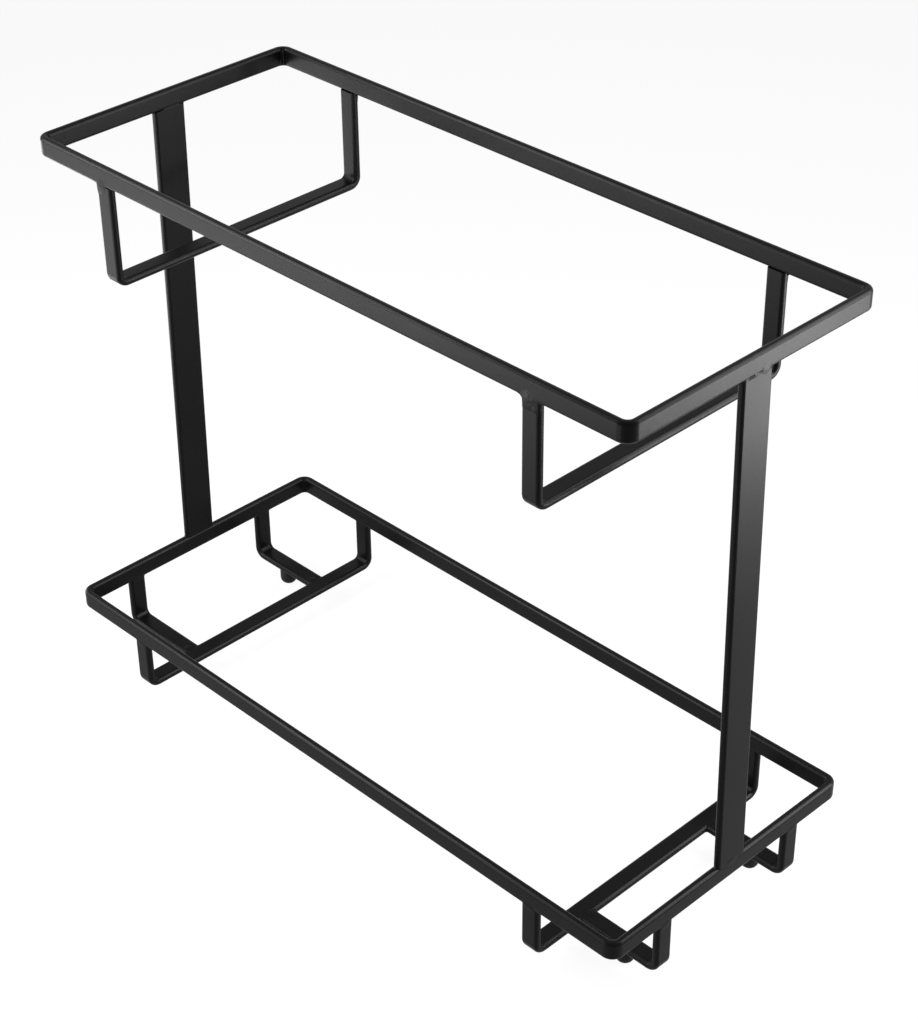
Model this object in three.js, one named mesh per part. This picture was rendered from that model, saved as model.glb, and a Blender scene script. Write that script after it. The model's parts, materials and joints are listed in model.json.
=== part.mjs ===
// Two-tier shelf frame, welded from flat steel strip and powder coated.
// Two rectangular rings stand one above the other, joined by a leaning post at each end.
// U-shaped cradles under the long rails carry a tray in each tier, and bent brackets with
// rubber pads make the feet. Millimetres, +Z up, +X along the long side.
// The origin is on the floor, under the middle of the frame.

import * as THREE from 'three';

// Strip: rolled flat wire for the rings, the cradles and the foot brackets
const stripWidth = 8;
const stripThickness = 3.2;
const stripEdgeRadius = 1.4;
const stripBendInside = 2;

// Rings, measured over their outer faces
const upperLength = 300;
const upperDepth = 124.5;
const lowerLength = 307.5;
const lowerDepth = 128.5;
const ringCornerInside = 2;

// Posts: flat bar from the lower short rails to the upper ones
const postHeight = 203.3;
const postWidth = 14.8;
const postThickness = 3;
const postEdgeRadius = 1.2;

// Cradles: the drop runs from the underside of a long rail to the underside of the U
const upperCradleDrop = 41.5;
const lowerCradleDrop = 22.5;
const cradleInset = 41;

// Foot brackets: spacing of the two at one end, middle to middle
const bracketSpacing = 72;

// Bumper pads under the brackets
const padDiameter = 7.5;
const padHeight = 7.2;
const padEdgeRadius = 3;

// Welds: size across the joint, and how far each kind stands proud of the faces it joins
const weldReach = 7;
const upperLegWeldProud = 0.6;
const lowerLegWeldProud = 0.3;
const postTopWeldProud = 0.5;
const postBaseWeldProud = 0.3;
const footWeldProud = 0.3;
const seamWidth = 1.3;
const seamProud = 0.4;
const weldClearance = 0.03;

// Facets
const cornerSegments = 4;
const edgeSegments = 3;
const roundSegments = 20;
const weldRings = 4;

// Heights that follow from the sizes above
const strapBottom = padHeight;
const lowerRingBottom = strapBottom + lowerCradleDrop;
const lowerRingTop = lowerRingBottom + stripWidth;
const upperRingBottom = lowerRingTop + postHeight;

// A rolled edge is never rounder than the bar that carries it
const fullestEdge = 0.45;
const stripEdge = Math.min(stripEdgeRadius, fullestEdge * stripThickness, fullestEdge * stripWidth);
const postEdge = Math.min(postEdgeRadius, fullestEdge * postThickness, fullestEdge * postWidth);
const padEdge = Math.min(padEdgeRadius, fullestEdge * padDiameter, fullestEdge * padHeight);
const bendOutside = stripBendInside + stripThickness;

const ends = [{ name: 'left', sign: -1 }, { name: 'right', sign: 1 }];
const faces = [{ name: 'front', sign: -1 }, { name: 'back', sign: 1 }];

const quarter = Math.PI / 2;

const shelf = new THREE.Group();

function powderCoat() {
  return new THREE.MeshStandardMaterial({ color: 0x1d1d1e, roughness: 0.46, metalness: 0 });
}

function rubber() {
  return new THREE.MeshStandardMaterial({ color: 0x0d0d0d, roughness: 0.8, metalness: 0 });
}

function addPiece(name, geometry, material) {
  const piece = new THREE.Mesh(geometry, material);
  piece.name = name;
  shelf.add(piece);
  return piece;
}

// Bar of an even width with rounded edges, cut to an outline and centred on the outline's plane
function rolledBar(outline, width, edge) {
  const bar = new THREE.ExtrudeGeometry(outline, {
    depth: width - 2 * edge,
    curveSegments: cornerSegments,
    bevelThickness: edge,
    bevelSize: edge,
    bevelOffset: -edge,
    bevelSegments: edgeSegments,
  });
  return bar.translate(0, 0, edge - width / 2);
}

function traceRoundedRectangle(path, length, depth, radius) {
  const x = length / 2 - radius;
  const y = depth / 2 - radius;
  path.absarc(x, y, radius, 0, quarter, false);
  path.absarc(-x, y, radius, quarter, 2 * quarter, false);
  path.absarc(-x, -y, radius, 2 * quarter, 3 * quarter, false);
  path.absarc(x, -y, radius, 3 * quarter, 4 * quarter, false);
  path.closePath();
  return path;
}

// Ring: strip standing on edge, bent round four corners and closed on itself
function addRing(name, length, depth, bottom) {
  const cornerOutside = ringCornerInside + stripThickness;
  const outline = traceRoundedRectangle(new THREE.Shape(), length, depth, cornerOutside);
  const insideLength = length - 2 * stripThickness;
  const insideDepth = depth - 2 * stripThickness;
  outline.holes.push(traceRoundedRectangle(new THREE.Path(), insideLength, insideDepth, ringCornerInside));
  const ring = addPiece(name, rolledBar(outline, stripWidth, stripEdge), powderCoat());
  ring.position.z = bottom + stripWidth / 2;
}

// Cradle: strip bent to a U that runs from the front rail to the back rail, seen along the shelf
function cradleOutline(span, drop) {
  const outer = span / 2;
  const inner = outer - stripThickness;
  const bendCentre = outer - bendOutside;
  const outline = new THREE.Shape();
  outline.moveTo(-inner, drop);
  outline.lineTo(-outer, drop);
  outline.absarc(-bendCentre, bendOutside, bendOutside, 2 * quarter, 3 * quarter, false);
  outline.absarc(bendCentre, bendOutside, bendOutside, 3 * quarter, 4 * quarter, false);
  outline.lineTo(outer, drop);
  outline.lineTo(inner, drop);
  outline.absarc(bendCentre, bendOutside, stripBendInside, 4 * quarter, 3 * quarter, true);
  outline.absarc(-bendCentre, bendOutside, stripBendInside, 3 * quarter, 2 * quarter, true);
  outline.closePath();
  return outline;
}

function addCradle(name, end, span, drop, middle, bottom) {
  const cradle = addPiece(name, rolledBar(cradleOutline(span, drop), stripWidth, stripEdge), powderCoat());
  cradle.rotation.set(quarter, quarter, 0);
  cradle.position.set(end.sign * middle, 0, bottom);
}

// Foot bracket: strip bent to an L, its leg under a short rail and its strap running in to the cradle
function bracketOutline(end, reach, drop) {
  const outline = new THREE.Shape();
  const bend = -end.sign * bendOutside;
  const start = end.sign > 0 ? 4 * quarter : 2 * quarter;
  const clockwise = end.sign > 0;
  outline.moveTo(-end.sign * stripThickness, drop);
  outline.lineTo(0, drop);
  outline.absarc(bend, bendOutside, bendOutside, start, 3 * quarter, clockwise);
  outline.lineTo(-end.sign * reach, 0);
  outline.lineTo(-end.sign * reach, stripThickness);
  outline.absarc(bend, bendOutside, stripBendInside, 3 * quarter, start, !clockwise);
  outline.closePath();
  return outline;
}

function addFootBracket(end, face) {
  const reach = cradleInset - stripWidth / 2;
  const outline = bracketOutline(end, reach, lowerCradleDrop);
  const name = `foot_bracket_${end.name}_${face.name}`;
  const bracket = addPiece(name, rolledBar(outline, stripWidth, stripEdge), powderCoat());
  bracket.rotation.x = quarter;
  bracket.position.set(end.sign * lowerLength / 2, face.sign * bracketSpacing / 2, strapBottom);
}

// Post: flat bar with level ends, its outer face flush with both rings
function addPost(end) {
  const topX = end.sign * upperLength / 2;
  const bottomX = end.sign * lowerLength / 2;
  const inward = -end.sign * postThickness;
  const outline = new THREE.Shape();
  outline.moveTo(bottomX, 0);
  outline.lineTo(topX, postHeight);
  outline.lineTo(topX + inward, postHeight);
  outline.lineTo(bottomX + inward, 0);
  outline.closePath();
  const post = addPiece(`post_${end.name}`, rolledBar(outline, postWidth, postEdge), powderCoat());
  post.rotation.x = quarter;
  post.position.z = lowerRingTop;
}

// Bumper pad: round rubber with a flat sole and a rounded edge, stuck under a bracket's strap
function addPad(end, face) {
  const radius = padDiameter / 2;
  const profile = new THREE.Path();
  profile.moveTo(0, 0);
  profile.lineTo(radius - padEdge, 0);
  profile.absarc(radius - padEdge, padEdge, padEdge, 3 * quarter, 4 * quarter, false);
  profile.lineTo(radius, padHeight);
  profile.lineTo(0, padHeight);
  const geometry = new THREE.LatheGeometry(profile.getPoints(cornerSegments), roundSegments);
  const pad = addPiece(`pad_${end.name}_${face.name}`, geometry, rubber());
  const strapMiddle = (cradleInset - stripWidth / 2) / 2;
  pad.rotation.x = quarter;
  pad.position.set(end.sign * (lowerLength / 2 - strapMiddle), face.sign * bracketSpacing / 2, 0);
}

// Weld bead: a low oval dome with a flat back. Its dome stands along +Y before it is turned.
function weldBead(width, reach, proud) {
  const profile = [new THREE.Vector2(0, 0)];
  for (let ring = 0; ring <= weldRings; ring += 1) {
    const angle = quarter * ring / weldRings;
    profile.push(new THREE.Vector2(Math.cos(angle), proud * Math.sin(angle)));
  }
  profile[profile.length - 1].x = 0;
  return new THREE.LatheGeometry(profile, roundSegments).scale(width / 2, 1, reach / 2);
}

// Welds over the joint of a cradle's leg and the long rail above it, on the outer faces
function addLegWelds(name, end, depth, middle, joint, proud) {
  for (const face of faces) {
    const bead = weldBead(stripWidth - stripEdge, weldReach, proud);
    const weld = addPiece(`weld_${name}_${face.name}`, bead, powderCoat());
    weld.rotation.x = face.sign > 0 ? 0 : 2 * quarter;
    weld.position.set(end.sign * middle, face.sign * depth / 2, joint);
  }
}

// Seam that closes the upper ring, in the hollow of its back left corner. Its flat back stays clear
// of the two facets that meet there.
function addRingSeam() {
  const facetTurn = quarter / cornerSegments;
  const facetLength = 2 * ringCornerInside * Math.sin(facetTurn / 2);
  const halfWidth = Math.min(seamWidth / 2, facetLength);
  const bead = weldBead(2 * halfWidth, stripWidth - 2 * stripEdge, seamProud);
  const back = ringCornerInside - halfWidth * Math.tan(facetTurn / 2) - weldClearance;
  const seam = addPiece('weld_upper_ring_seam', bead, powderCoat());
  const bendX = upperLength / 2 - stripThickness - ringCornerInside;
  const bendY = upperDepth / 2 - stripThickness - ringCornerInside;
  const diagonal = back * Math.SQRT1_2;
  seam.rotation.z = -3 * quarter / 2;
  seam.position.set(-bendX - diagonal, bendY + diagonal, upperRingBottom + stripWidth / 2);
}

// Weld over the joint of a post and a short rail. The half on the post stays clear of its lean.
function addPostWeld(end, place, length, joint, postSide, proud) {
  const bead = weldBead(postWidth - 2 * postEdge, weldReach, proud);
  const lean = -postSide * (lowerLength - upperLength) / 2 / postHeight;
  const spread = Math.max(0, lean) + weldClearance / weldReach;
  const points = bead.attributes.position;
  for (let i = 0; i < points.count; i += 1) {
    const onPost = Math.max(0, postSide * points.getZ(i));
    points.setY(i, points.getY(i) + spread * onPost);
  }
  const weld = addPiece(`weld_post_${end.name}_${place}`, bead, powderCoat());
  weld.rotation.z = -end.sign * quarter;
  weld.position.set(end.sign * length / 2, 0, joint);
}

// Welds of a foot bracket: over its leg's joint with the short rail, and under its joint with the cradle
function addFootWelds(end, face) {
  const y = face.sign * bracketSpacing / 2;
  const legBead = weldBead(stripWidth - stripEdge, weldReach, lowerLegWeldProud);
  const legWeld = addPiece(`weld_foot_bracket_${end.name}_${face.name}`, legBead, powderCoat());
  legWeld.rotation.z = -end.sign * quarter;
  legWeld.position.set(end.sign * lowerLength / 2, y, lowerRingBottom);
  const strapBead = weldBead(weldReach, stripWidth - 2 * stripEdge, footWeldProud);
  const strapWeld = addPiece(`weld_foot_joint_${end.name}_${face.name}`, strapBead, powderCoat());
  const cradleEdge = lowerLength / 2 - cradleInset + stripWidth / 2;
  strapWeld.rotation.x = -quarter;
  strapWeld.position.set(end.sign * cradleEdge, y, strapBottom);
}

addRing('upper_ring', upperLength, upperDepth, upperRingBottom);
addRing('lower_ring', lowerLength, lowerDepth, lowerRingBottom);
addRingSeam();

for (const end of ends) {
  const upperMiddle = upperLength / 2 - cradleInset;
  const lowerMiddle = lowerLength / 2 - cradleInset;
  const upperName = `upper_cradle_${end.name}`;
  const lowerName = `lower_cradle_${end.name}`;
  addCradle(upperName, end, upperDepth, upperCradleDrop, upperMiddle, upperRingBottom - upperCradleDrop);
  addCradle(lowerName, end, lowerDepth, lowerCradleDrop, lowerMiddle, strapBottom);
  addLegWelds(upperName, end, upperDepth, upperMiddle, upperRingBottom, upperLegWeldProud);
  addLegWelds(lowerName, end, lowerDepth, lowerMiddle, lowerRingBottom, lowerLegWeldProud);
  addPost(end);
  addPostWeld(end, 'top', upperLength, upperRingBottom, -1, postTopWeldProud);
  addPostWeld(end, 'bottom', lowerLength, lowerRingTop, 1, postBaseWeldProud);
  for (const face of faces) {
    addFootBracket(end, face);
    addPad(end, face);
    addFootWelds(end, face);
  }
}

export default shelf;
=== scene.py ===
# Tiered shelf frame of black powder-coated flat steel, standing on a white studio floor.
# Metres, +Z up, +X along the long side and +Y to the back, with the floor at zero.
import json
import math

import bmesh
import bpy
from mathutils import Matrix, Vector, noise

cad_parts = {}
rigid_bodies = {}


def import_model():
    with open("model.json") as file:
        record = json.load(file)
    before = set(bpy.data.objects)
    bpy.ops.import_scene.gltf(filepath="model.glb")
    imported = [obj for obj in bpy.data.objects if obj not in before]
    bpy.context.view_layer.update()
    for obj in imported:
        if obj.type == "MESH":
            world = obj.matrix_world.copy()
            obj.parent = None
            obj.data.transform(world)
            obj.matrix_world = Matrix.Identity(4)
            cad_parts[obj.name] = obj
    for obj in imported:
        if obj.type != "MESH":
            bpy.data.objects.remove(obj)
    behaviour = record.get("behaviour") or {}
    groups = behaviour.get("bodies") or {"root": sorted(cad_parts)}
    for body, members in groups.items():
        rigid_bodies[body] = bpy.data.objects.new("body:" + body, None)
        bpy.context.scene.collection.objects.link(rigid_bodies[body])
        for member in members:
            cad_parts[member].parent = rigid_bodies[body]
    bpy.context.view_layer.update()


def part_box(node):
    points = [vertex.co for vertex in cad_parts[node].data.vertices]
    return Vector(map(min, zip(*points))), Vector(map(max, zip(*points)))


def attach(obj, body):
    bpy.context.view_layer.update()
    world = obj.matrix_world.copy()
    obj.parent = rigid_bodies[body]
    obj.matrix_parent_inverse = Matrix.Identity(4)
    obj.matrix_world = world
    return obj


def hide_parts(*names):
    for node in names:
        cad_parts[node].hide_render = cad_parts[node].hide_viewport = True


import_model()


# Rings: each is one length of rolled flat steel strip standing on edge, with rounded edges. It is bent
# to a rectangle round four corners and welded shut, then powder coated black with the whole frame.
strip_thickness = 0.0032
strip_edge = 0.0014
ring_corner_inside = 0.002
edge_steps = 8
bend_steps = 16
joined_within = 1e-6
flat_face_weight = 100
quarter = math.pi / 2
coat_dark = (0.0013, 0.0013, 0.0014, 1)
coat_light = (0.0026, 0.0026, 0.0027, 1)
cloud_share = 0.6
coat_roughness = 0.29
cloud_roughness = 0.07
grain_roughness = 0.03
coat_gloss = 0.0665
peel_strength = 0.22
peel_depth = 0.00008
grain_height = 0.3


class Shade:
    """One output of a material's nodes: arithmetic on it adds Math nodes, and node() adds any other."""

    # A Mix node's colour sockets share their names with its number sockets, so they go by place.
    mix_factor = 0
    mix_first = 6
    mix_second = 7
    mix_colour = 2

    def __init__(self, tree, socket=None):
        self.tree = tree
        self.socket = socket

    def node(self, kind, settings, sockets, output=0):
        made = self.tree.nodes.new(kind)
        for name, value in settings.items():
            setattr(made, name, value)
        for name, value in sockets.items():
            self.feed(made.inputs[name], value)
        return Shade(self.tree, made.outputs[output])

    def feed(self, target, value):
        if isinstance(value, Shade):
            self.tree.links.new(value.socket, target)
        else:
            target.default_value = value

    def math(self, operation, first, second):
        return self.node("ShaderNodeMath", {"operation": operation}, {0: first, 1: second})

    def __add__(self, other):
        return self.math("ADD", self, other)

    def __radd__(self, other):
        return self.math("ADD", other, self)

    def __rsub__(self, other):
        return self.math("SUBTRACT", other, self)

    def __mul__(self, other):
        return self.math("MULTIPLY", self, other)

    def __rmul__(self, other):
        return self.math("MULTIPLY", other, self)

    def noise(self, scale, detail):
        sockets = {"Vector": self, "Scale": scale, "Detail": detail}
        return self.node("ShaderNodeTexNoise", {}, sockets, "Fac")

    def blend(self, dark, light):
        sockets = {self.mix_factor: self, self.mix_first: dark, self.mix_second: light}
        return self.node("ShaderNodeMix", {"data_type": "RGBA"}, sockets, self.mix_colour)


def new_material(name):
    material = bpy.data.materials.new(name)
    material.use_nodes = True
    return material, Shade(material.node_tree), material.node_tree.nodes["Principled BSDF"]


def powder_coat():
    """Satin black baked powder: a faint orange peel, a fine grain and slightly uneven gloss."""
    material, shade, shader = new_material("powder_coat_black")
    place = shade.node("ShaderNodeTexCoord", {}, {}, "Object")
    cloud = place.noise(scale=45, detail=3)
    peel = place.noise(scale=650, detail=2)
    grain = place.noise(scale=3600, detail=1)
    tone = cloud_share * cloud + (1 - cloud_share) * grain
    roughness = coat_roughness + cloud_roughness * cloud + grain_roughness * grain
    bump = {"Strength": peel_strength, "Distance": peel_depth, "Height": peel + grain * grain_height}
    shade.feed(shader.inputs["Base Color"], tone.blend(coat_dark, coat_light))
    shade.feed(shader.inputs["Roughness"], roughness)
    shade.feed(shader.inputs["Normal"], shade.node("ShaderNodeBump", {}, bump))
    shader.inputs["Specular IOR Level"].default_value = coat_gloss
    return material


def strip_outline(bm, place, width, thickness, edge):
    """The strip's rounded section as a loop of edges. Its width lies along the place's own X."""
    corners = bmesh.ops.create_grid(bm, x_segments=1, y_segments=1, size=0.5)["verts"]
    bmesh.ops.scale(bm, vec=(width, thickness, 1), verts=corners)
    rounded = bmesh.ops.bevel(bm, geom=corners, offset=edge, segments=edge_steps, profile=0.5,
                              affect="VERTICES", material=-1)["verts"]
    section = rounded[0].link_faces[0]
    loop = section.edges[:]
    bmesh.ops.transform(bm, matrix=place, verts=section.verts[:])
    bmesh.ops.delete(bm, geom=[section], context="FACES_ONLY")
    return loop


def run(bm, loop, step):
    """Carries a section straight on, and gives its far end."""
    made = bmesh.ops.extrude_edge_only(bm, edges=loop)["geom"]
    ends = {v for v in made if isinstance(v, bmesh.types.BMVert)}
    bmesh.ops.translate(bm, vec=step, verts=list(ends))
    return [e for e in made if isinstance(e, bmesh.types.BMEdge) and ends.issuperset(e.verts)]


def bend(bm, loop, centre, axis, angle):
    """Carries a section round a bend, and gives its far end."""
    geom = list(dict.fromkeys(v for e in loop for v in e.verts)) + loop
    made = bmesh.ops.spin(bm, geom=geom, cent=centre, axis=axis, angle=angle, steps=bend_steps)
    return [e for e in made["geom_last"] if isinstance(e, bmesh.types.BMEdge)]


def go_round(bm, loop, length, depth, corner):
    """Carries a section from the middle of the back once round a rectangle with round corners."""
    half_x = length / 2 - corner
    half_y = depth / 2 - corner
    height = sum((e.verts[0].co.z for e in loop)) / len(loop)
    loop = run(bm, loop, (-half_x, 0, 0))
    for x, y, step in (
        (-half_x, half_y, (0, -2 * half_y, 0)),
        (-half_x, -half_y, (2 * half_x, 0, 0)),
        (half_x, -half_y, (0, 2 * half_y, 0)),
        (half_x, half_y, (-half_x, 0, 0)),
    ):
        loop = bend(bm, loop, (x, y, height), (0, 0, 1), quarter)
        loop = run(bm, loop, step)
    bmesh.ops.remove_doubles(bm, verts=bm.verts, dist=joined_within)


def add_piece(name, bm, material, nodes):
    """Makes a finished piece of a shape, standing for its nodes in the frame."""
    bmesh.ops.recalc_face_normals(bm, faces=bm.faces)
    mesh = bpy.data.meshes.new(name)
    bm.to_mesh(mesh)
    bm.free()
    mesh.shade_smooth()
    mesh.materials.append(material)
    piece = bpy.data.objects.new(name, mesh)
    bpy.context.scene.collection.objects.link(piece)
    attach(piece, "root")
    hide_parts(*nodes)
    return piece


def add_bar(name, bm, nodes):
    """A strip or bar whose flat faces stay flat in the light, up to their rounded edges."""
    piece = add_piece(name, bm, coat, nodes)
    piece.modifiers.new("flat_faces", "WEIGHTED_NORMAL").weight = flat_face_weight


coat = powder_coat()
upright = Matrix.Rotation(quarter, 4, "Y")
for ring in ("upper_ring", "lower_ring"):
    low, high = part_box(ring)
    strip_width = high.z - low.z
    length = high.x - low.x - strip_thickness
    depth = high.y - low.y - strip_thickness
    bm = bmesh.new()
    start = Matrix.Translation((0, depth / 2, (low.z + high.z) / 2)) @ upright
    loop = strip_outline(bm, start, strip_width, strip_thickness, strip_edge)
    go_round(bm, loop, length, depth, ring_corner_inside + strip_thickness / 2)
    add_bar(f"{ring}_strip", bm, [ring])


# Posts: wide flat bar from the middle of the lower short rails up to the upper ones. They lean in
# a little and stay flush with both rings, and their sawn ends are eased before they are welded.
post_thickness = 0.003
post_edge = 0.0012
sawn_ease = 0.00025
sawn_steps = 2


def close_ends(bm, *loops):
    """Caps the sawn ends of a strip and eases their edges."""
    for loop in loops:
        bmesh.ops.edgeloop_fill(bm, edges=loop)
        bmesh.ops.bevel(bm, geom=loop, offset=sawn_ease, segments=sawn_steps, profile=0.5,
                        affect="EDGES", material=-1)


upper_low, upper_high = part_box("upper_ring")
_, lower_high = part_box("lower_ring")
for end, side in (("left", -1), ("right", 1)):
    low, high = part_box(f"post_{end}")
    foot_x = side * (lower_high.x - post_thickness / 2)
    head_x = side * (upper_high.x - post_thickness / 2)
    lean = Vector((head_x - foot_x, 0, high.z - low.z))
    bm = bmesh.new()
    start = Matrix.Translation((foot_x, 0, low.z)) @ Matrix.Rotation(quarter, 4, "Z")
    foot = strip_outline(bm, start, high.y - low.y, post_thickness, post_edge)
    head = run(bm, foot, lean)
    close_ends(bm, foot, head)
    add_bar(f"post_{end}_bar", bm, [f"post_{end}"])


# Cradles: strip bent to a U that hangs from the front and back rails and carries a tray. The upper
# ones are deep and the lower ones shallow. Each leg is sawn square and butts under its rail.
strip_bend_inside = 0.002
strip_bend = strip_bend_inside + strip_thickness / 2

for tier in ("upper", "lower"):
    for end in ("left", "right"):
        node = f"{tier}_cradle_{end}"
        low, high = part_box(node)
        middle = (low.x + high.x) / 2
        leg_y = high.y - strip_thickness / 2
        strap_z = low.z + strip_thickness / 2
        bend_y = leg_y - strip_bend
        bend_z = strap_z + strip_bend
        bm = bmesh.new()
        start = Matrix.Translation((middle, -leg_y, high.z))
        front = strip_outline(bm, start, high.x - low.x, strip_thickness, strip_edge)
        loop = run(bm, front, (0, 0, bend_z - high.z))
        loop = bend(bm, loop, (middle, -bend_y, bend_z), (1, 0, 0), quarter)
        loop = run(bm, loop, (0, 2 * bend_y, 0))
        loop = bend(bm, loop, (middle, bend_y, bend_z), (1, 0, 0), quarter)
        back = run(bm, loop, (0, 0, high.z - bend_z))
        close_ends(bm, front, back)
        add_bar(f"{node}_strip", bm, [node])


# Foot brackets: strip bent to an L, with its leg welded under a short rail and its strap to the side
# of a lower cradle. The strap lies level with the cradle's and carries the rubber pad underneath.
for end, side in (("left", -1), ("right", 1)):
    for face in ("front", "back"):
        node = f"foot_bracket_{end}_{face}"
        low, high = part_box(node)
        outer_x = high.x if side > 0 else low.x
        inner_x = low.x if side > 0 else high.x
        middle = (low.y + high.y) / 2
        leg_x = outer_x - side * strip_thickness / 2
        bend_x = leg_x - side * strip_bend
        bend_z = low.z + strip_thickness / 2 + strip_bend
        bm = bmesh.new()
        start = Matrix.Translation((leg_x, middle, high.z)) @ Matrix.Rotation(quarter, 4, "Z")
        head = strip_outline(bm, start, high.y - low.y, strip_thickness, strip_edge)
        loop = run(bm, head, (0, 0, bend_z - high.z))
        loop = bend(bm, loop, (bend_x, middle, bend_z), (0, side, 0), quarter)
        tail = run(bm, loop, (inner_x - bend_x, 0, 0))
        close_ends(bm, head, tail)
        add_bar(f"{node}_strip", bm, [node])


# Welds: every bar butts against a rail or a strap, and weld metal fills the joint with a small fillet
# on either side. The upper joints are rougher, with dabs, pits and a groove left on the inside, and
# the joints between the straps are lumpy on top. The powder coat covers them all.
weld_voxel = 0.00022
weld_sink = 0.00004
weld_inset = 0.0012
post_inset = strip_thickness - post_thickness + weld_sink
weld_down = 0.0045
post_down = 0.0018
weld_up = 0.0022
weld_beside = 0.0024
weld_edge_share = 0.45
weld_smoothing = 14
smoothing_pull = 0.5
fillet_small = 0.0012
fillet_large = 0.0022
fillet_share = 0.5
fillet_round = 0.3
dab_depth = 0.0004
dab_pitch = 0.0016
dab_ripple = 0.35


def stub(bm, place, width, thickness, edge, step):
    """A short solid length of strip."""
    near = strip_outline(bm, place, width, thickness, edge)
    close_ends(bm, near, run(bm, near, step))


def melt(bm):
    """Melts overlapping shells into one closed skin."""
    mesh = bpy.data.meshes.new("melt")
    bm.to_mesh(mesh)
    bm.clear()
    molten = bpy.data.objects.new("melt", mesh)
    bpy.context.scene.collection.objects.link(molten)
    remesh = molten.modifiers.new("melt", "REMESH")
    remesh.mode = "VOXEL"
    remesh.voxel_size = weld_voxel
    bm.from_object(molten, bpy.context.evaluated_depsgraph_get())
    bpy.data.objects.remove(molten)
    bpy.data.meshes.remove(mesh)


def soften(bm, rounds):
    """Lets the skin of the weld metal flow smooth."""
    for _ in range(rounds):
        bmesh.ops.smooth_vert(bm, verts=bm.verts, factor=smoothing_pull,
                              use_axis_x=True, use_axis_y=True, use_axis_z=True)


def weld(node, place, width, down, inset, fills, fillets, dabs):
    """Weld metal where a bar below butts under a rail, with X along the rail and Y outwards.

    It lies a hair under the skins of both, and the inset leaves a groove on the inside.
    """
    bm = bmesh.new()
    depth = strip_thickness - inset - weld_sink
    middle = (inset - weld_sink) / 2
    edge = min(strip_edge, weld_edge_share * depth)
    reach = width / 2 + weld_beside
    rail = Matrix.Translation((-reach, middle, weld_up)) @ upright
    stub(bm, rail, 2 * (weld_up - weld_sink), depth, edge, (2 * reach, 0, 0))
    for first, last in fills:
        bar = Matrix.Translation(((first + last) * width / 4, middle, -down))
        filled = (last - first) * width / 2 - 2 * weld_sink
        stub(bm, bar, filled, depth, edge, (0, 0, down + weld_up))
    for side, size in zip((-1, 1), fillets):
        corner = Matrix.Translation((side * width / 2, middle - fillet_share * depth / 2, 0))
        aslant = Matrix.Rotation(-quarter, 4, "X") @ Matrix.Rotation(quarter / 2, 4, "Z")
        stub(bm, corner @ aslant, size, size, fillet_round * size, (0, fillet_share * depth, 0))
    melt(bm)
    soften(bm, weld_smoothing)
    # The count of objects so far gives each joint a ripple of its own.
    seed = Vector((len(bpy.data.objects), 0, 0))
    for vert in bm.verts:
        ripple = 1 + dab_ripple * noise.noise(vert.co / dab_pitch + seed)
        for skin, x, z, reach_x, reach_z, proud in dabs:
            if skin * vert.co.y > strip_thickness / 2 - dab_depth:
                near = max(0, 1 - ((vert.co.x - x) / reach_x) ** 2 - ((vert.co.z - z) / reach_z) ** 2)
                vert.co.y += skin * proud * ripple * near ** 2
    bmesh.ops.transform(bm, matrix=place, verts=bm.verts)
    add_piece(f"{node}_bead", bm, coat, [node])


# A fill is the stretch of the bar's width that the weld metal covers, from -1 at one edge to 1 at the
# other. A dab has its skin, its middle along the rail and upwards, its reach both ways and how far it
# stands proud, which is less than nought for a pit.
whole = ((-1, 1),)
leg_fills = {"left": ((-0.45, 1),), "right": whole}
head_fills = {"left": ((-0.55, 0.86),), "right": whole}
neat = (fillet_small, fillet_small)
uneven = (fillet_small, fillet_large)
outer = 1
inner = -1
swelling = ((outer, 0, 0.0003, 0.0045, 0.0026, 0.00012),)
lumps = swelling + (
    (inner, 0.0012, -0.0006, 0.0030, 0.0030, 0.00022),
    (inner, -0.0022, -0.0024, 0.0016, 0.0020, 0.00015),
)
leg_dabs = {
    "left": (
        (outer, 0.0014, -0.0003, 0.0040, 0.0042, 0.0003),
        (outer, 0.0034, -0.0012, 0.0013, 0.0032, 0.00015),
    ),
    "right": (
        (outer, 0.0008, -0.0004, 0.0044, 0.0046, 0.00035),
        (outer, -0.0018, -0.0030, 0.0017, 0.0015, 0.00015),
    ),
}
head_dabs = (
    (outer, 0.0036, 0.0003, 0.0026, 0.0014, -0.0003),
    (outer, -0.0004, 0.0011, 0.0020, 0.0013, -0.0002),
    (outer, 0.0016, 0.0004, 0.0018, 0.0018, 0.0001),
    (outer, -0.0036, 0.0010, 0.0036, 0.0036, 0.00016),
    (outer, -0.0080, 0.0012, 0.0012, 0.0012, -0.0002),
)
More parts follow.
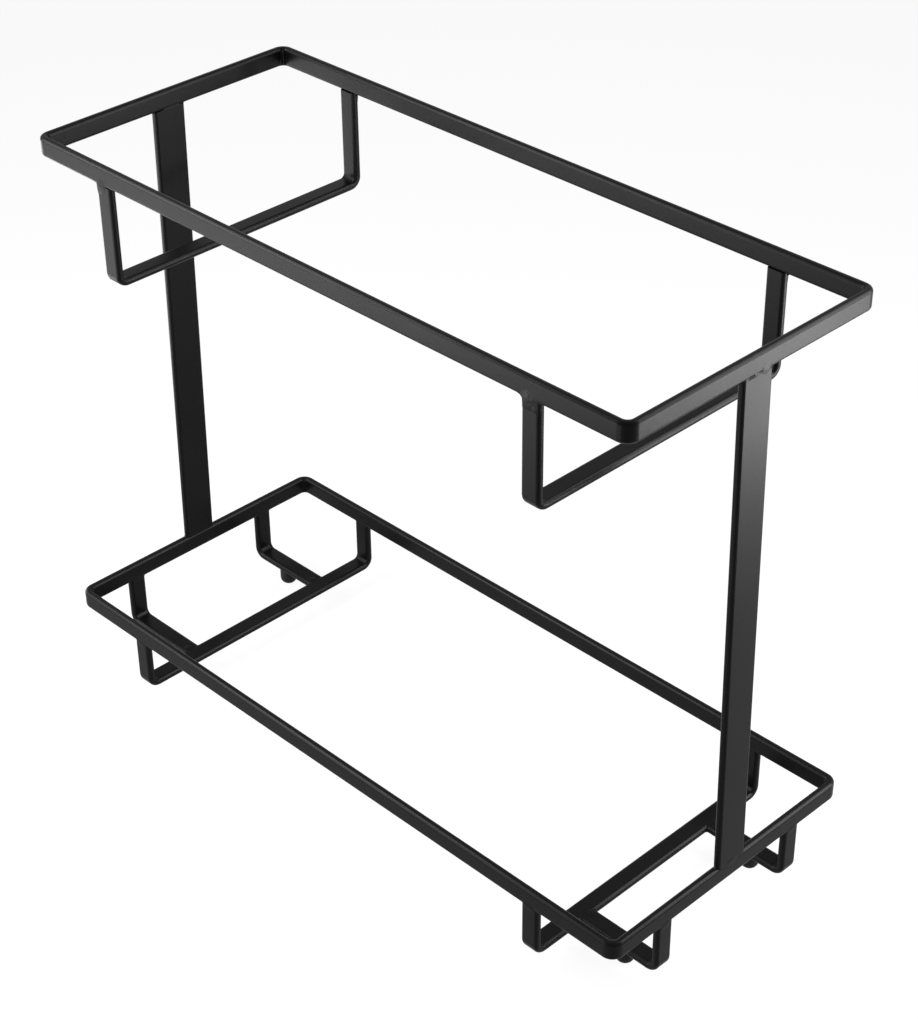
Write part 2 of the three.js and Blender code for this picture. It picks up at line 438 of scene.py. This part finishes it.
for end, side in (("left", -1), ("right", 1)):
    for face, way, turn in (("front", -1, 2 * quarter), ("back", 1, 0)):
        for tier, inset, fills, fillets, dabs in (
            ("upper", weld_inset, leg_fills[end], uneven, leg_dabs[end]),
            ("lower", weld_sink, whole, neat, swelling),
        ):
            low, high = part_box(f"{tier}_cradle_{end}")
            leg_y = way * (high.y - strip_thickness / 2)
            leg = Matrix.Translation(((low.x + high.x) / 2, leg_y, high.z)) @ Matrix.Rotation(turn, 4, "Z")
            node = f"weld_{tier}_cradle_{end}_{face}"
            weld(node, leg, strip_width, weld_down, inset, fills, fillets, dabs)

    low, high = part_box(f"post_{end}")
    post_width = high.y - low.y
    upper_x = side * (upper_high.x - strip_thickness / 2)
    lower_x = side * (lower_high.x - strip_thickness / 2)
    outwards = Matrix.Rotation(-side * quarter, 4, "Z")
    upside_down = Matrix.Rotation(2 * quarter, 4, "Y")
    head = Matrix.Translation((upper_x, 0, high.z)) @ outwards
    foot = Matrix.Translation((lower_x, 0, low.z)) @ outwards @ upside_down
    for tip, place, fills, dabs in (
        ("top", head, head_fills[end], head_dabs),
        ("bottom", foot, whole, swelling),
    ):
        weld(f"weld_post_{end}_{tip}", place, post_width, post_down, post_inset, fills, neat, dabs)

    for face in ("front", "back"):
        low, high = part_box(f"foot_bracket_{end}_{face}")
        middle = (low.y + high.y) / 2
        inner_x = low.x if side > 0 else high.x
        underside = Matrix.Rotation(side * quarter, 4, "Z") @ Matrix.Rotation(-quarter, 4, "X")
        leg = Matrix.Translation((lower_x, middle, high.z)) @ outwards
        strap = Matrix.Translation((inner_x, middle, low.z + strip_thickness / 2)) @ underside
        for joint, place, dabs in (("bracket", leg, swelling), ("joint", strap, lumps)):
            node = f"weld_foot_{joint}_{end}_{face}"
            weld(node, place, strip_width, weld_down, weld_sink, whole, neat, dabs)


# Seam: the upper ring's two ends meet in its back left corner. A narrow run of weld closes them on the
# inside, from edge to edge of the strip, and the powder coat covers it.
seam_radius = 0.0007
seam_proud = 0.0007
seam_aside = 0.0003
seam_pitch = 0.0007
seam_overlap = 0.9
seam_wobble = 0.4
seam_wobble_step = 0.7
seam_smoothing = 2

low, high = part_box("weld_upper_ring_seam")
hollow = ring_corner_inside * (1 - math.sqrt(0.5))
corner = Vector((upper_low.x + strip_thickness + hollow, upper_high.y - strip_thickness - hollow, 0))
inwards = Vector((1, -1, 0)).normalized()
aside = Vector((1, 1, 0)).normalized()
drops = round((high.z - low.z) / seam_pitch)
drop_shape = Matrix.Diagonal((seam_radius, seam_radius, seam_overlap * seam_pitch, 1))
bm = bmesh.new()
for drop in range(drops + 1):
    wobble = seam_wobble * noise.noise((0, 0, seam_wobble_step * drop)) * seam_radius
    spot = corner + inwards * (seam_proud - seam_radius) + aside * (seam_aside + wobble)
    spot.z = low.z + (high.z - low.z) * drop / drops
    place = Matrix.Translation(spot) @ drop_shape
    bmesh.ops.create_icosphere(bm, subdivisions=3, radius=1, matrix=place)
melt(bm)
soften(bm, seam_smoothing)
add_piece("weld_upper_ring_seam_bead", bm, coat, ["weld_upper_ring_seam"])


# Pads: round moulded rubber bumpers, pressed and glued under the brackets' straps. They have straight
# sides with a shallow groove under a collar, and a domed end with a small flat sole.
pad_sides = 48
pad_dome = 0.003
dome_steps = 9
pad_collar = 0.0011
pad_groove = 0.0005
pad_waist = 0.965
pad_dark = (0.0025, 0.0025, 0.0025, 1)
pad_light = (0.0060, 0.0060, 0.0060, 1)
pad_roughness = 0.55
bloom_roughness = 0.2
pad_gloss = 0.15
pad_grain_strength = 0.3
pad_grain_depth = 0.00006


def pad_rubber():
    """Matte black rubber with a fine moulded grain and a trace of bloom."""
    material, shade, shader = new_material("pad_rubber_black")
    place = shade.node("ShaderNodeTexCoord", {}, {}, "Object")
    bloom = place.noise(scale=260, detail=3)
    grain = place.noise(scale=5200, detail=2)
    bump = {"Strength": pad_grain_strength, "Distance": pad_grain_depth, "Height": grain}
    shade.feed(shader.inputs["Base Color"], bloom.blend(pad_dark, pad_light))
    shade.feed(shader.inputs["Roughness"], pad_roughness + bloom_roughness * bloom)
    shade.feed(shader.inputs["Normal"], shade.node("ShaderNodeBump", {}, bump))
    shader.inputs["Specular IOR Level"].default_value = pad_gloss
    return material


rubber = pad_rubber()
for end in ("left", "right"):
    for face in ("front", "back"):
        node = f"pad_{end}_{face}"
        low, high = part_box(node)
        middle = (low + high) / 2
        radius = (high.x - low.x) / 2
        bm = bmesh.new()
        bmesh.ops.create_cone(bm, cap_ends=True, segments=pad_sides, radius1=radius, radius2=radius,
                              depth=high.z - low.z, matrix=Matrix.Translation(middle))
        sole = min(bm.faces, key=lambda cap: cap.calc_center_median().z)
        bmesh.ops.bevel(bm, geom=sole.edges[:], offset=pad_dome, segments=dome_steps, profile=0.5,
                        affect="EDGES", material=-1)
        for drop in (pad_collar, pad_collar + pad_groove / 2, pad_collar + pad_groove):
            cut = (middle.x, middle.y, high.z - drop)
            bmesh.ops.bisect_plane(bm, geom=bm.verts[:] + bm.edges[:] + bm.faces[:], dist=joined_within,
                                   plane_co=cut, plane_no=(0, 0, 1))
        groove_z = high.z - pad_collar - pad_groove / 2
        groove = [v for v in bm.verts if abs(v.co.z - groove_z) < pad_groove / 4]
        bmesh.ops.scale(bm, vec=(pad_waist, pad_waist, 1), space=Matrix.Translation(-middle), verts=groove)
        add_piece(f"{node}_bumper", bm, rubber, [node])


# Studio: a wide white floor that keeps the frame's shadow, softboxes stacked low, half-way and high
# to the left and right, a small one low in front, a faint sky, and the camera at the photo's place.
white = (1, 1, 1, 1)
floor_reach = 15.0
floor_colour = (0.9, 0.9, 0.9, 1)
floor_glow = 0.92
sky_light = 0.08


def seen_directly(shade):
    """One for rays from the camera, from a gloss or through glass, and nought for soft light."""
    unseen = 1
    for ray in ("Is Camera Ray", "Is Glossy Ray", "Is Transmission Ray"):
        unseen = unseen * (1 - shade.node("ShaderNodeLightPath", {}, {}, ray))
    return 1 - unseen


bm = bmesh.new()
bmesh.ops.create_grid(bm, x_segments=1, y_segments=1, size=floor_reach)
mesh = bpy.data.meshes.new("studio_floor")
bm.to_mesh(mesh)
bm.free()
floor = bpy.data.objects.new("studio_floor", mesh)
bpy.context.scene.collection.objects.link(floor)
material, shade, shader = new_material("studio_floor")
soft = shade.node("ShaderNodeBsdfDiffuse", {}, {"Color": floor_colour}, "BSDF")
glow = shade.node("ShaderNodeEmission", {}, {"Color": white, "Strength": 1}, "Emission")
mixed = shade.node("ShaderNodeMixShader", {}, {0: seen_directly(shade) * floor_glow, 1: soft, 2: glow})
shade.feed(material.node_tree.nodes["Material Output"].inputs["Surface"], mixed)
mesh.materials.append(material)

world = bpy.data.worlds.new("studio")
bpy.context.scene.world = world
world.use_nodes = True
shade = Shade(world.node_tree)
sky = world.node_tree.nodes["Background"]
shade.feed(sky.inputs["Color"], white)
shade.feed(sky.inputs["Strength"], sky_light + seen_directly(shade) * (1 - sky_light))

camera_azimuth = math.radians(45.63)
camera_elevation = math.radians(33.67)
camera_roll = math.radians(-0.61)
camera_place = Vector((0.5331, -0.5085, 0.6103))
camera_lens = 81.19
lamp_aim = Vector((0, 0, 0.14))


def softbox(name, turn, reach, height, width, tall, power):
    """A soft lamp, turned so many degrees from the camera's right and aimed at the frame."""
    angle = camera_azimuth + math.radians(turn)
    place = Vector((reach * math.cos(angle), reach * math.sin(angle), height))
    light = bpy.data.lights.new(name, "AREA")
    light.shape = "RECTANGLE"
    light.size = width
    light.size_y = tall
    light.energy = power
    lamp = bpy.data.objects.new(name, light)
    lamp.location = place
    lamp.rotation_euler = (lamp_aim - place).to_track_quat("-Z", "Y").to_euler()
    lamp.visible_camera = False
    bpy.context.scene.collection.objects.link(lamp)


softbox("right_low_softbox", turn=-12, reach=0.44, height=0.114, width=0.18, tall=0.182, power=1.94)
softbox("right_middle_softbox", turn=-6, reach=0.46, height=0.35, width=0.20, tall=0.23, power=2.60)
softbox("right_high_softbox", turn=14, reach=0.50, height=0.68, width=0.20, tall=0.24, power=2.20)
softbox("left_near_softbox", turn=203, reach=0.42, height=0.10, width=0.20, tall=0.20, power=1.02)
softbox("left_low_softbox", turn=180, reach=0.42, height=0.10, width=0.20, tall=0.20, power=0.62)
softbox("left_far_softbox", turn=147, reach=0.36, height=0.08, width=0.16, tall=0.16, power=0.44)
softbox("left_middle_softbox", turn=180, reach=0.46, height=0.35, width=0.25, tall=0.23, power=3.40)
softbox("left_high_softbox", turn=165, reach=0.50, height=0.68, width=0.26, tall=0.24, power=2.70)
softbox("front_low_softbox", turn=235, reach=0.42, height=0.045, width=0.13, tall=0.08, power=0.24)

lens = bpy.data.cameras.new("camera")
lens.lens = camera_lens
camera = bpy.data.objects.new("camera", lens)
turn = Matrix.Rotation(camera_azimuth, 4, "Z") @ Matrix.Rotation(quarter - camera_elevation, 4, "X")
camera.matrix_world = Matrix.Translation(camera_place) @ turn @ Matrix.Rotation(camera_roll, 4, "Z")
bpy.context.scene.collection.objects.link(camera)
bpy.context.scene.camera = camera
bpy.context.scene.view_settings.view_transform = "Standard"
